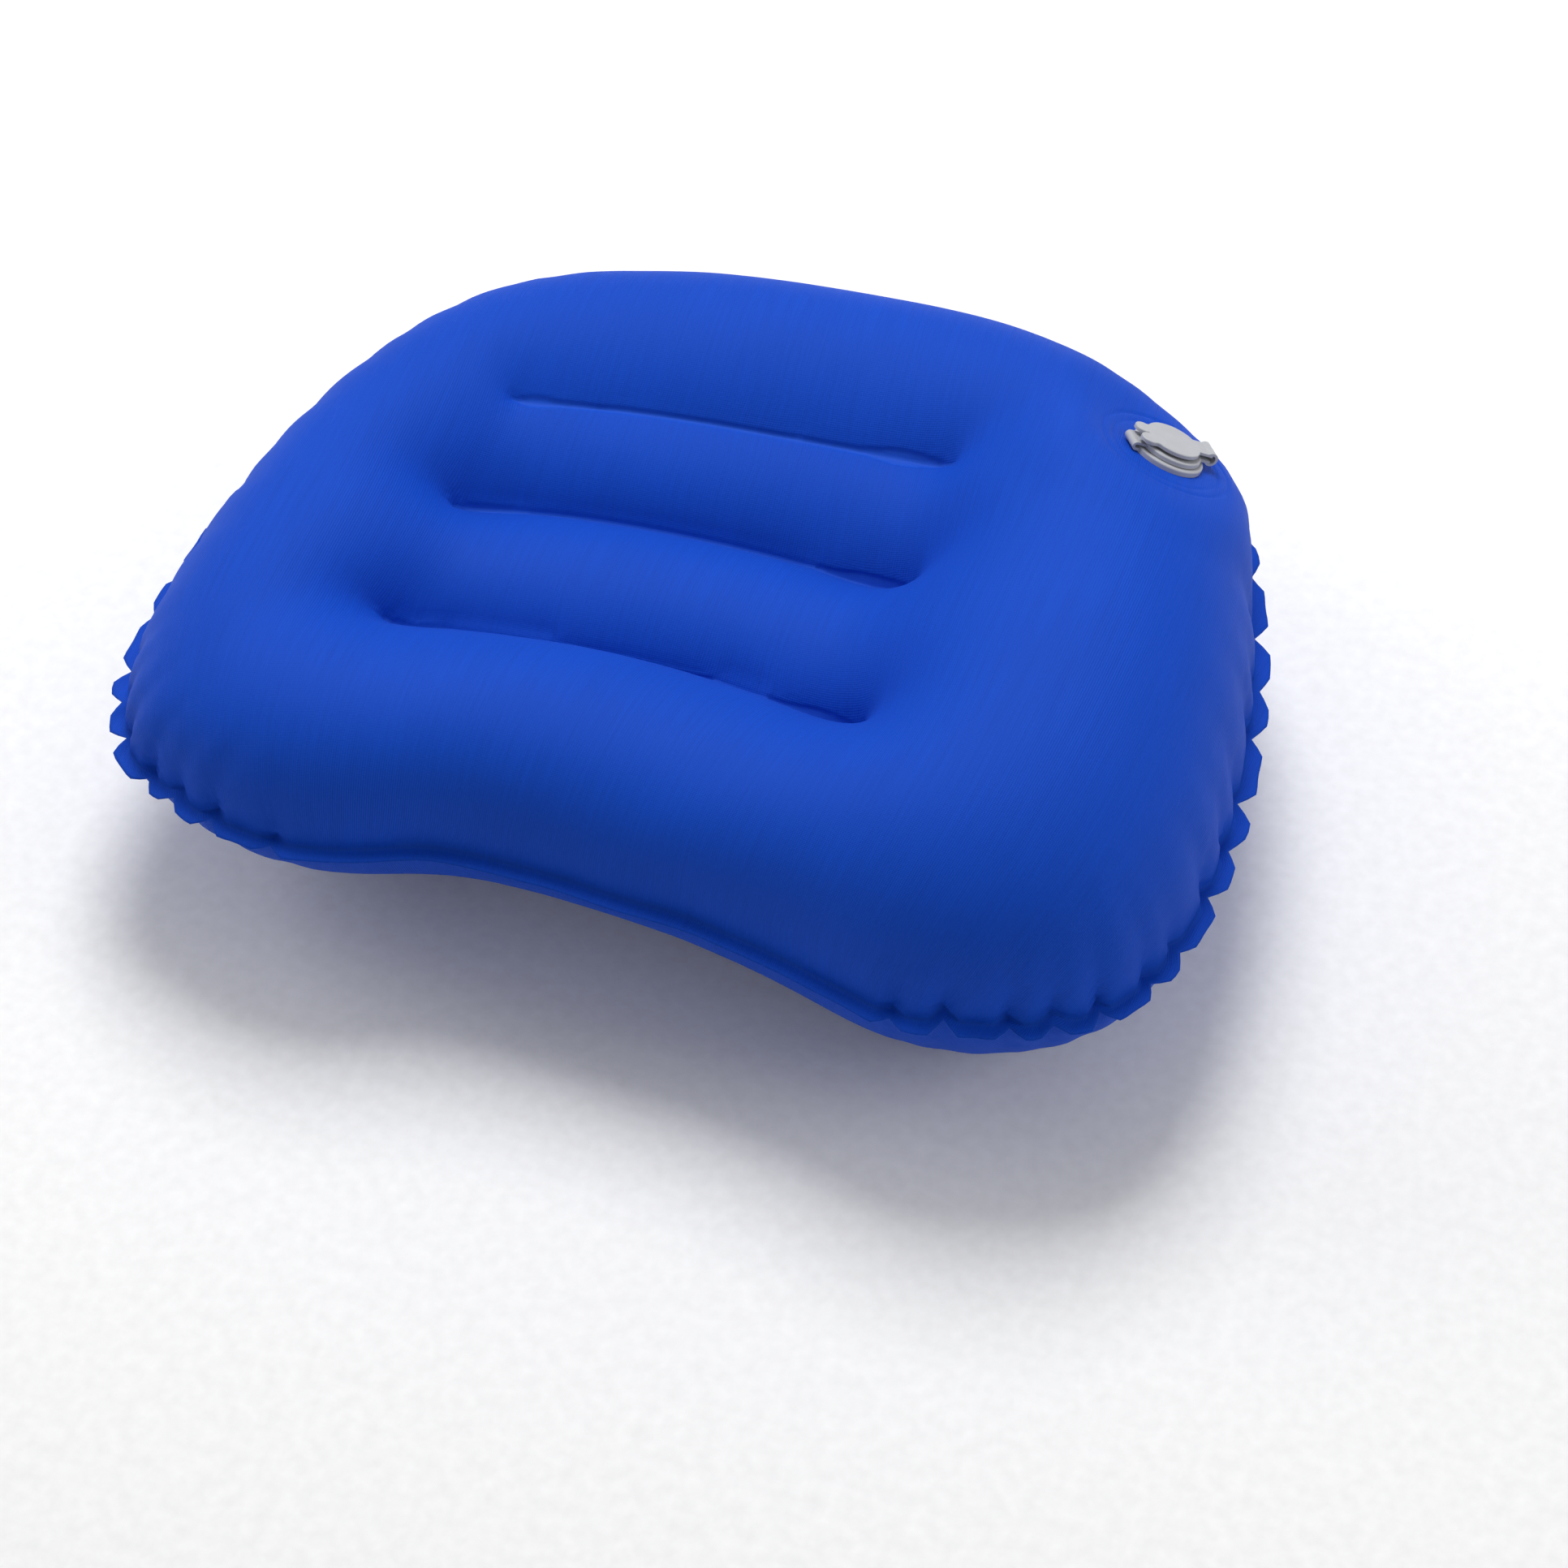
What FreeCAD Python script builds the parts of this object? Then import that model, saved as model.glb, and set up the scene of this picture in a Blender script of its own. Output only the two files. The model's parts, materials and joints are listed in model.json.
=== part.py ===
"""Inflatable camp pillow: two welded skins, three internal baffles and a two-stage air valve.

Frame: millimetres, +Z up, +Y towards the back of the pillow, +X to its right.
The origin is on the ground, under the middle of the pillow's bounding box.
The neck side is the concave front edge, at -Y.
"""
import FreeCAD
import Part
import Sketcher
import math
import os

from FreeCAD import Placement, Rotation, Vector

doc = FreeCAD.newDocument("camp_pillow")

# ---------------------------------------------------------------------------
# Driving dimensions
# ---------------------------------------------------------------------------
SIZES = [
    # outline of the weld seam, in plan
    ("seam_half_width", 218.9, "centre to the widest point of the weld seam"),
    ("widest_place", -55.0, "Y of the widest point"),
    ("back_place", 157.0, "Y of the back of the seam, on the centre line"),
    ("corner_place", -176.3, "Y of the front corners of the seam"),
    ("corner_roundness", 2.6, "exponent of the front corners, 2 is an ellipse"),
    ("back_roundness", 2.9, "exponent of the back arc, 2 is an ellipse"),
    ("neck_depth", 41.0, "how far the front edge curves in, on the centre line"),
    ("neck_half_width", 160.0, "half of the curved-in length of the front edge"),
    ("flange_width", 6.5, "welded margin outside the seam"),
    # crown of each skin above the seam plane
    ("crown_height", 77.8, "seam plane to the top of a skin"),
    ("crown_squareness", 5.0, "exponent of the crown along X"),
    ("crown_roundness", 2.3, "exponent of a skin's cross-section"),
    ("skin_thickness", 1.0, "coated knit laminate"),
    ("seam_height", 73.4, "seam plane above the ground; the bottom skin is flattened below that"),
    # the quilted middle, drawn in by the baffles
    ("quilt_drop", 32.0, "how far the baffles hold the middle of a skin down"),
    ("channel_drop", 17.0, "extra depth along each weld line"),
    ("channel_spread", 12.0, "half width of the channel beside a weld line"),
    ("weld_middle", -13.0, "X of the middle of the weld lines, clear of the valve"),
    ("weld_half_length", 101.0, "half length of a weld line"),
    ("quilt_end_fade", 46.0, "length over which the channels run out beyond their ends"),
    ("quilt_side_fade", 60.0, "width over which the drop runs out beyond the outer weld lines"),
    ("front_weld_place", -52.0, "Y of the front weld line"),
    ("middle_weld_place", 10.0, "Y of the middle weld line"),
    ("back_weld_place", 70.0, "Y of the back weld line"),
    ("baffle_thickness", 0.6, "film of a baffle"),
    ("baffle_tab_width", 7.0, "width of a baffle's welded tab"),
    # valve
    ("valve_side", 153.0, "X of the valve on the top skin"),
    ("valve_back", 89.0, "Y of the valve on the top skin"),
    ("valve_turn", 29.0, "turn of the straps about the valve's axis, degrees"),
    ("skirt_radius", 28.5, "weld skirt of the valve, under the top skin"),
    ("skirt_thickness", 0.8, "weld skirt of the valve"),
    ("collar_radius", 15.8, "outer radius of the valve's collar"),
    ("collar_height", 2.4, "collar above the skin"),
    ("tube_radius", 13.4, "outer radius of the valve's tube"),
    ("tube_depth", 7.5, "tube below the skin"),
    ("bore_radius", 11.8, "deflation bore"),
    ("running_gap", 0.3, "clearance between pieces that part"),
    ("plug_radius", 13.8, "rim of the deflation plug"),
    ("plug_rim_height", 2.0, "thickness of the plug's rim"),
    ("plug_depth", 3.6, "spigot of the plug below the skin"),
    ("plug_taper", 0.9, "how much the spigot narrows"),
    ("neck_ring_radius", 9.0, "raised ring round the inflation bore"),
    ("neck_ring_height", 0.9, "raised ring above the plug's rim"),
    ("port_radius", 7.0, "inflation bore"),
    ("spider_thickness", 1.0, "cross that carries the check membrane"),
    ("spider_half_width", 0.9, "one bar of the cross"),
    ("hub_radius", 2.4, "middle of the cross"),
    ("pin_radius", 1.0, "pin of the check membrane"),
    ("pin_head_radius", 2.2, "heads of the pin"),
    ("pin_head_height", 0.7, "heads of the pin"),
    ("membrane_radius", 8.4, "check membrane"),
    ("membrane_thickness", 0.5, "check membrane"),
    ("seat_gap", 0.1, "between the closed membrane and its seat"),
    ("pin_clearance", 0.06, "hole of the membrane round its pin"),
    ("membrane_travel", 1.2, "how far the membrane lifts off its seat"),
    ("lid_radius", 11.9, "lid of the inflation bore"),
    ("lid_thickness", 1.6, "lid of the inflation bore"),
    ("stub_radius", 6.6, "stub of the lid, in the inflation bore"),
    ("stub_depth", 4.2, "stub of the lid"),
    ("stub_taper", 0.5, "how much the stub narrows"),
    ("stub_wall", 1.1, "wall of the hollow stub"),
    ("lobe_radius", 3.8, "one lobe of the pull tab"),
    ("lobe_reach", 12.8, "valve axis to the centre of a lobe"),
    ("lobe_offset", 4.0, "half of the distance between the lobes"),
    ("collar_edge_radius", 0.9, "rounded top edge of the collar"),
    ("rim_edge_radius", 0.7, "rounded top edge of the plug's rim"),
    ("shoulder_radius", 2.0, "where the pull tab's lobes leave the lid"),
    ("lid_edge_radius", 0.5, "rounded top edge of the lid"),
    ("strap_width", 9.6, "both straps"),
    ("rim_root_inside", 12.6, "valve axis to the buried end of a strap root in a rim"),
    ("lid_root_inside", 10.5, "valve axis to the buried end of the lid's strap root"),
    ("strap_thickness", 1.1, "both straps"),
    ("strap_half_thickness", 0.55, "both straps"),
    ("strap_half_width", 4.8, "both straps"),
    ("lid_root_reach", 14.4, "valve axis to where the lid's strap begins"),
    ("lid_loop_place", 17.2, "valve axis to the middle of the lid's strap loop"),
    ("lid_loop_height", 5.3, "middle of the lid's strap loop above the skin"),
    ("lid_loop_radius", 2.9, "outside of the lid's strap loop"),
    ("lid_leg_offset", 1.45, "middle of the loop to the middle of a leg"),
    ("plug_root_reach", 16.1, "valve axis to where the plug's strap begins"),
    ("plug_loop_place", 17.0, "valve axis to the middle of the plug's strap loop"),
    ("plug_loop_height", 2.35, "middle of the plug's strap loop above the skin"),
    ("plug_loop_radius", 1.85, "outside of the plug's strap loop"),
    ("plug_leg_offset", 1.3, "middle of the loop to the middle of a leg"),
]

sheet = doc.addObject("Spreadsheet::Sheet", "sizes")
for row, (alias, value, note) in enumerate(SIZES, 1):
    sheet.set("A%d" % row, alias)
    sheet.set("B%d" % row, str(value))
    sheet.set("C%d" % row, note)
    sheet.setAlias("B%d" % row, alias)
doc.recompute()


def size(alias):
    """The value of one driving dimension."""
    return float(sheet.get(alias))


# ---------------------------------------------------------------------------
# Skins: a crown over the seam outline, with three channels
# ---------------------------------------------------------------------------
END_PART = 0.998  # a crown ends in a narrow upright face just short of its widest point
FIT_GAP = 0.05  # clearance between the valve's tube and its weld skirt
NEAR = 0.02  # tolerance when edges are picked by place
STATIONS = 28  # sections along X through a crown
SAMPLES = 30  # points along each section
WELD_PLACES = {
    "front_baffle": "front_weld_place",
    "middle_baffle": "middle_weld_place",
    "back_baffle": "back_weld_place",
}


def bump(distance, reach):
    """1 at the middle, falling smoothly to 0 at reach."""
    if abs(distance) >= reach:
        return 0.0
    return 0.5 + 0.5 * math.cos(math.pi * distance / reach)


def rounded(part, roundness):
    """A superellipse's ordinate at the given part of its half width."""
    return max(0.0, 1.0 - abs(part) ** roundness) ** (1.0 / roundness)


def seam_line(x, inset):
    """Front and back Y of the seam outline at x, drawn in by inset."""
    part = x / (size("seam_half_width") - inset)
    widest = size("widest_place")
    back_reach = size("back_place") - inset - widest
    corner_reach = widest - size("corner_place") - inset
    back = widest + back_reach * rounded(part, size("back_roundness"))
    front = widest - corner_reach * rounded(part, size("corner_roundness"))
    front += size("neck_depth") * bump(x, size("neck_half_width"))
    return front, back


def quilt_depth(x, y):
    """How far the baffles draw a skin in, fading out beyond the weld lines."""
    past_end = max(0.0, abs(x - size("weld_middle")) - size("weld_half_length"))
    past_side = max(0.0, size("front_weld_place") - y, y - size("back_weld_place"))
    depth = size("quilt_drop") * bump(past_side, size("quilt_side_fade"))
    for place in WELD_PLACES.values():
        depth += size("channel_drop") * math.exp(-((y - size(place)) / size("channel_spread")) ** 2)
    return depth * bump(past_end, size("quilt_end_fade"))


def crown(x, y, inset):
    """Height of a skin above the seam plane, with its surface drawn in by inset."""
    front, back = seam_line(x, inset)
    if back - front < 1e-6:
        return 0.0
    along = rounded(x / (size("seam_half_width") - inset), size("crown_squareness"))
    across = rounded(2.0 * (y - front) / (back - front) - 1.0, size("crown_roundness"))
    return (size("crown_height") - inset - quilt_depth(x, y)) * along * across


def skin_surface(inset):
    """The surface of one skin above the seam plane, drawn in by inset."""
    half_width = (size("seam_half_width") - inset) * END_PART
    rows = []
    for station in range(STATIONS + 1):
        x = -half_width * math.cos(math.pi * station / STATIONS)
        front, back = seam_line(x, inset)
        row = []
        for sample in range(SAMPLES + 1):
            y = front + (back - front) * 0.5 * (1.0 - math.cos(math.pi * sample / SAMPLES))
            row.append(Vector(x, y, crown(x, y, inset)))
        rows.append(row)
    surface = Part.BSplineSurface()
    surface.interpolate(rows)
    return surface


def crown_solid(inset):
    """The closed solid between the seam plane and one skin's surface."""
    skin = skin_surface(inset).toShape()
    rim = []
    faces = [skin]
    for edge in skin.Edges:
        if edge.BoundBox.XLength > 1.0:
            rim.append(edge)
            continue
        chord = Part.makeLine(edge.Vertexes[0].Point, edge.Vertexes[-1].Point)
        rim.append(chord)
        faces.append(Part.Face(Part.Wire(Part.sortEdges([edge, chord])[0])))
    faces.append(Part.Face(Part.Wire(Part.sortEdges(rim)[0])))
    return Part.makeSolid(Part.makeShell(faces))


def seam_face(inset):
    """The flat region inside the seam outline, drawn in by inset; a negative inset widens it."""
    half_width = (size("seam_half_width") - inset) * END_PART
    front_points, back_points = [], []
    for station in range(STATIONS + 1):
        x = -half_width * math.cos(math.pi * station / STATIONS)
        front, back = seam_line(x, inset)
        front_points.append(Vector(x, front, 0))
        back_points.append(Vector(x, back, 0))
    edges = []
    for points in (front_points, back_points):
        curve = Part.BSplineCurve()
        curve.interpolate(points)
        edges.append(curve.toShape())
    edges.append(Part.makeLine(front_points[0], back_points[0]))
    edges.append(Part.makeLine(front_points[-1], back_points[-1]))
    return Part.Face(Part.Wire(Part.sortEdges(edges)[0]))


def box_between(low, high):
    """An axis-aligned box between two corners."""
    sides = high - low
    return Part.makeBox(sides.x, sides.y, sides.z, low)


def add_shape(name, shape, placement=None):
    """A node whose shape is worked out in code."""
    made = doc.addObject("Part::Feature", name)
    made.Label = name
    made.Shape = shape
    if placement:
        made.Placement = placement
    return made


# Skins, baffles and weld skirt are worked out with the seam plane at Z 0, then moved by SKIN_SIDE.
SEAM_PLANE = size("seam_height")
SKIN = size("skin_thickness")
OUTER = crown_solid(0.0)
INNER = crown_solid(SKIN)
LINING = crown_solid(SKIN + size("baffle_thickness"))
SKIRT_LINING = crown_solid(SKIN + size("skirt_thickness"))
PLAN = seam_face(-size("flange_width"))
FLANGE = PLAN.extrude(Vector(0, 0, SKIN / 2.0))
CENTRE = Vector(-PLAN.BoundBox.Center.x, -PLAN.BoundBox.Center.y, SEAM_PLANE)
SKIN_SIDE = Placement(CENTRE, Rotation())


def mirrored_down(shape):
    """The same shape below the seam plane."""
    return shape.mirror(Vector(0, 0, 0), Vector(0, 0, 1))


def flattened(shape, depth):
    """A shape below the seam plane, cut flat at the given depth."""
    keep = box_between(Vector(-300, -300, -depth), Vector(300, 300, 10))
    return shape.common(keep)


def valve_placement():
    """The valve's frame on the top skin: its Z out of the skin, its X along the straps."""
    x, y, step = size("valve_side"), size("valve_back"), 4.0
    slope_x = (crown(x + step, y, 0.0) - crown(x - step, y, 0.0)) / (2.0 * step)
    slope_y = (crown(x, y + step, 0.0) - crown(x, y - step, 0.0)) / (2.0 * step)
    outward = Vector(-slope_x, -slope_y, 1.0).normalize()
    tilt = Rotation(Vector(0, 0, 1), outward)
    turn = Rotation(Vector(0, 0, 1), size("valve_turn"))
    return Placement(CENTRE + Vector(x, y, crown(x, y, 0.0)), tilt * turn)


VALVE = valve_placement()
VALVE_ON_SKIN = Placement(VALVE.Base - CENTRE, VALVE.Rotation)


def valve_drill(radius):
    """A cylinder along the valve's axis, in the skins' own frame."""
    drill = Part.makeCylinder(radius, 60.0, Vector(0, 0, -30.0))
    drill.Placement = VALVE_ON_SKIN
    return drill


def make_skins():
    """The top and bottom skins: thin crowns, each with half of the welded flange."""
    valve_hole = valve_drill(size("tube_radius") + size("running_gap"))
    top = OUTER.fuse(FLANGE).cut(INNER).cut(valve_hole)
    add_shape("top_panel", top, SKIN_SIDE)
    low_outer = flattened(mirrored_down(OUTER), SEAM_PLANE)
    low_inner = flattened(mirrored_down(INNER), SEAM_PLANE - SKIN)
    add_shape("bottom_panel", low_outer.fuse(mirrored_down(FLANGE)).cut(low_inner), SKIN_SIDE)


def make_baffle(name, place):
    """A film web across the air chamber, with a tab welded to each skin."""
    length, film = size("weld_half_length"), size("baffle_thickness")
    tab, reach = size("baffle_tab_width") / 2.0, size("crown_height")
    left, right = size("weld_middle") - length, size("weld_middle") + length
    web = box_between(Vector(left, place - film / 2.0, 0), Vector(right, place + film / 2.0, reach))
    tab_region = box_between(Vector(left, place - tab, 1.0), Vector(right, place + tab, reach))
    upper_web = web.common(LINING)
    upper_tab = tab_region.common(INNER).cut(LINING)
    upper = upper_web.fuse(upper_tab)
    add_shape(name, upper.fuse(mirrored_down(upper)).removeSplitter(), SKIN_SIDE)


def make_weld_skirt():
    """The valve's weld skirt: a film ring that follows the inside of the top skin."""
    ring = valve_drill(size("skirt_radius")).cut(valve_drill(size("tube_radius") + FIT_GAP))
    add_shape("valve_skirt", ring.common(INNER).cut(SKIRT_LINING), SKIN_SIDE)


# ---------------------------------------------------------------------------
# Sketch helpers for the moulded valve pieces, all in the valve's own frame
# ---------------------------------------------------------------------------
def at(*terms):
    """A sum of sheet sizes as (expression, value); a leading minus subtracts a size."""
    expression, value = "0 mm", 0.0
    for term in terms:
        sign = "-" if term.startswith("-") else "+"
        alias = term.lstrip("-")
        expression += " %s sizes.%s * 1 mm" % (sign, alias)
        value += -size(alias) if sign == "-" else size(alias)
    return expression, value


ZERO = at()


def new_body(name):
    """A body that stands in the valve's frame and is named after its node."""
    made = doc.addObject("PartDesign::Body", name)
    made.Label = name
    made.Placement = VALVE
    return made


def new_sketch(owner, name, role):
    """A sketch on one of the body's own origin planes."""
    made = owner.newObject("Sketcher::SketchObject", name)
    for feature in owner.Origin.OriginFeatures:
        if feature.Role == role:
            made.AttachmentSupport = [(feature, "")]
    made.MapMode = "FlatFace"
    return made


def pin_point(drawing, geometry, end, across, up):
    """Fix one end of a line or a circle's centre by sheet sizes."""
    for kind, (expression, value) in (("DistanceX", across), ("DistanceY", up)):
        index = drawing.addConstraint(Sketcher.Constraint(kind, -1, 1, geometry, end, value))
        drawing.setExpression("Constraints[%d]" % index, expression)


def draw_polygon(drawing, corners):
    """A closed outline through corners, each a pair of sizes."""
    points = [Vector(across[1], up[1], 0) for across, up in corners]
    count = len(points)
    lines = [Part.LineSegment(points[i], points[(i + 1) % count]) for i in range(count)]
    first = drawing.addGeometry(lines, False)[0]
    for i in range(count):
        after = (i + 1) % count
        drawing.addConstraint(Sketcher.Constraint("Coincident", first + i, 2, first + after, 1))
    for i, (across, up) in enumerate(corners):
        pin_point(drawing, first + i, 1, across, up)


def revolve(owner, name, corners):
    """A ring or disc turned about the valve's axis; corners are (radius, height)."""
    drawing = new_sketch(owner, name + "_profile", "XZ_Plane")
    draw_polygon(drawing, corners)
    turned = owner.newObject("PartDesign::Revolution", name)
    turned.Profile = drawing
    turned.ReferenceAxis = (drawing, ["V_Axis"])
    turned.Angle = 360
    drawing.Visibility = False
    doc.recompute()
    return turned


def add_block(owner, name, low, high):
    """A box in a body between two corners, each a triple of sizes."""
    block = owner.newObject("PartDesign::AdditiveBox", name)
    for side, axis, near, far in zip(("Length", "Width", "Height"), "xyz", low, high):
        block.setExpression(side, "(%s) - (%s)" % (far[0], near[0]))
        block.setExpression("Placement.Base." + axis, near[0])
    doc.recompute()
    return block


def add_post(owner, name, kind, radius, low, high, across=None, sideways=None):
    """A round post (additive) or hole (subtractive) along the valve's axis."""
    post = owner.newObject("PartDesign::" + kind, name)
    post.setExpression("Radius", radius[0])
    post.setExpression("Height", "(%s) - (%s)" % (high[0], low[0]))
    post.setExpression("Placement.Base.z", low[0])
    if across:
        post.setExpression("Placement.Base.x", across[0])
        post.setExpression("Placement.Base.y", sideways[0])
    doc.recompute()
    return post


def round_off(owner, name, radius, wanted):
    """A fillet of a named radius on the edges of the body so far that wanted() picks."""
    base = owner.Tip
    picked = []
    for index, edge in enumerate(base.Shape.Edges, 1):
        if wanted(edge):
            picked.append("Edge%d" % index)
    fillet = owner.newObject("PartDesign::Fillet", name)
    fillet.Base = (base, picked)
    fillet.setExpression("Radius", at(radius)[0])
    doc.recompute()
    return fillet


def level_edge(height, least_radius):
    """A test for edges that lie level at a height and reach out past a radius."""
    def wanted(edge):
        box = edge.BoundBox
        level = abs(box.ZMin - height) < NEAR and abs(box.ZMax - height) < NEAR
        far = max(math.hypot(vertex.X, vertex.Y) for vertex in edge.Vertexes)
        return level and far > least_radius
    return wanted


def shoulder_edge(edge):
    """True for the two upright edges where the pull tab's lobes leave the lid's plate."""
    box = edge.BoundBox
    upright = box.XLength < NEAR and box.YLength < NEAR and box.ZLength > NEAR
    place = edge.Vertexes[0]
    return upright and place.X < 0.0 and abs(place.Y) > size("lobe_offset")


# ---------------------------------------------------------------------------
# Valve pieces. Heights are measured from the outside of the skin.
# ---------------------------------------------------------------------------
HALF_WIDTH = at("strap_half_width")
OTHER_HALF = at("-strap_half_width")
COLLAR_TOP = at("collar_height")
PLUG_BASE = at("collar_height", "running_gap")
PLUG_TOP = at("collar_height", "running_gap", "plug_rim_height")
PLUG_BOTTOM = at("-plug_depth")
SEAT_TOP = at("collar_height", "running_gap", "plug_rim_height", "neck_ring_height")
LID_LAYERS = ("collar_height", "running_gap", "plug_rim_height", "neck_ring_height", "running_gap")
LID_BASE = at(*LID_LAYERS)
LID_TOP = at(*LID_LAYERS, "lid_thickness")


def leg_height(loop, side):
    """Lower and upper face of one leg of a strap loop; side is 1 for the upper leg."""
    offset = loop + "_leg_offset" if side > 0 else "-" + loop + "_leg_offset"
    low = at(loop + "_loop_height", offset, "-strap_half_thickness")
    high = at(loop + "_loop_height", offset, "strap_half_thickness")
    return low, high


def add_strap_root(owner, name, loop, side, leg, inside="rim_root_inside"):
    """The moulded start of a strap on a valve piece, out to where the strap begins."""
    low, high = leg_height(loop, leg)
    inner_end, outer_end = at(inside), at(loop + "_root_reach")
    if side < 0:
        inner_end, outer_end = at("-" + loop + "_root_reach"), at("-" + inside)
    return add_block(owner, name, (inner_end, OTHER_HALF, low), (outer_end, HALF_WIDTH, high))


def make_valve_base():
    """Collar and tube that the deflation plug seats in."""
    owner = new_body("valve_base")
    bore, tube, collar = at("bore_radius"), at("tube_radius"), at("collar_radius")
    bottom = at("-tube_depth")
    revolve(owner, "collar_and_tube", [
        (bore, bottom), (tube, bottom), (tube, ZERO), (collar, ZERO), (collar, COLLAR_TOP), (bore, COLLAR_TOP)])
    round_off(owner, "collar_edge", "collar_edge_radius", level_edge(COLLAR_TOP[1], size("tube_radius")))
    add_strap_root(owner, "base_strap_root", "plug", -1, -1)


def make_plug():
    """Deflation plug: rim, tapered spigot, inflation bore and the cross under it."""
    owner = new_body("deflation_plug")
    bottom, port = PLUG_BOTTOM, at("port_radius")
    spigot_top = at("bore_radius", "-running_gap")
    spigot_end = at("bore_radius", "-running_gap", "-plug_taper")
    rim, ring = at("plug_radius"), at("neck_ring_radius")
    revolve(owner, "rim_and_spigot", [
        (port, bottom), (spigot_end, bottom), (spigot_top, PLUG_BASE), (rim, PLUG_BASE),
        (rim, PLUG_TOP), (ring, PLUG_TOP), (ring, SEAT_TOP), (port, SEAT_TOP)])
    round_off(owner, "rim_edge", "rim_edge_radius", level_edge(PLUG_TOP[1], size("neck_ring_radius") + 1.0))
    add_strap_root(owner, "plug_strap_root", "plug", -1, 1)
    add_strap_root(owner, "plug_lid_strap_root", "lid", 1, -1)
    half_bar, other_half_bar = at("spider_half_width"), at("-spider_half_width")
    reach, other_reach = at("port_radius", "running_gap"), at("-port_radius", "-running_gap")
    spider_top = at("-plug_depth", "spider_thickness")
    add_block(owner, "bar_along", (other_reach, other_half_bar, bottom), (reach, half_bar, spider_top))
    add_block(owner, "bar_across", (other_half_bar, other_reach, bottom), (half_bar, reach, spider_top))
    add_post(owner, "hub", "AdditiveCylinder", at("hub_radius"), bottom, spider_top)
    add_post(owner, "pin_hole", "SubtractiveCylinder", at("pin_radius"), bottom, spider_top)


def make_pin():
    """Headed pin that holds the check membrane under the cross."""
    owner = new_body("membrane_pin")
    shaft, head = at("pin_radius"), at("pin_head_radius")
    upper = at("-plug_depth", "spider_thickness")
    upper_top = at("-plug_depth", "spider_thickness", "pin_head_height")
    stop = at("-plug_depth", "-seat_gap", "-membrane_thickness", "-membrane_travel")
    stop_bottom = at("-plug_depth", "-seat_gap", "-membrane_thickness", "-membrane_travel", "-pin_head_height")
    revolve(owner, "pin_turned", [
        (ZERO, stop_bottom), (head, stop_bottom), (head, stop), (shaft, stop), (shaft, upper),
        (head, upper), (head, upper_top), (ZERO, upper_top)])


def make_membrane():
    """Check membrane: a soft disc that slides on its pin and seals against the plug's lower face."""
    owner = new_body("check_membrane")
    hole, rim = at("pin_radius", "pin_clearance"), at("membrane_radius")
    top = at("-plug_depth", "-seat_gap")
    bottom = at("-plug_depth", "-seat_gap", "-membrane_thickness")
    revolve(owner, "membrane_disc", [(hole, bottom), (rim, bottom), (rim, top), (hole, top)])


def make_lid():
    """Lid of the inflation bore: plate, hollow stub, two-lobed pull tab and the start of its strap."""
    owner = new_body("lid")
    stub_end = at(*LID_LAYERS, "-stub_depth")
    stub, stub_tip = at("stub_radius"), at("stub_radius", "-stub_taper")
    hollow = at("stub_radius", "-stub_taper", "-stub_wall")
    plate = at("lid_radius")
    revolve(owner, "plate_and_stub", [
        (ZERO, LID_BASE), (hollow, LID_BASE), (hollow, stub_end), (stub_tip, stub_end),
        (stub, LID_BASE), (plate, LID_BASE), (plate, LID_TOP), (ZERO, LID_TOP)])
    lobe = at("lobe_radius")
    for name, sideways in (("near_lobe", at("-lobe_offset")), ("far_lobe", at("lobe_offset"))):
        add_post(owner, name, "AdditiveCylinder", lobe, LID_BASE, LID_TOP, at("-lobe_reach"), sideways)
    round_off(owner, "tab_shoulders", "shoulder_radius", shoulder_edge)
    round_off(owner, "lid_edge", "lid_edge_radius", level_edge(LID_TOP[1], size("lid_radius") - 1.0))
    add_strap_root(owner, "lid_strap_root", "lid", 1, 1, "lid_root_inside")


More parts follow.
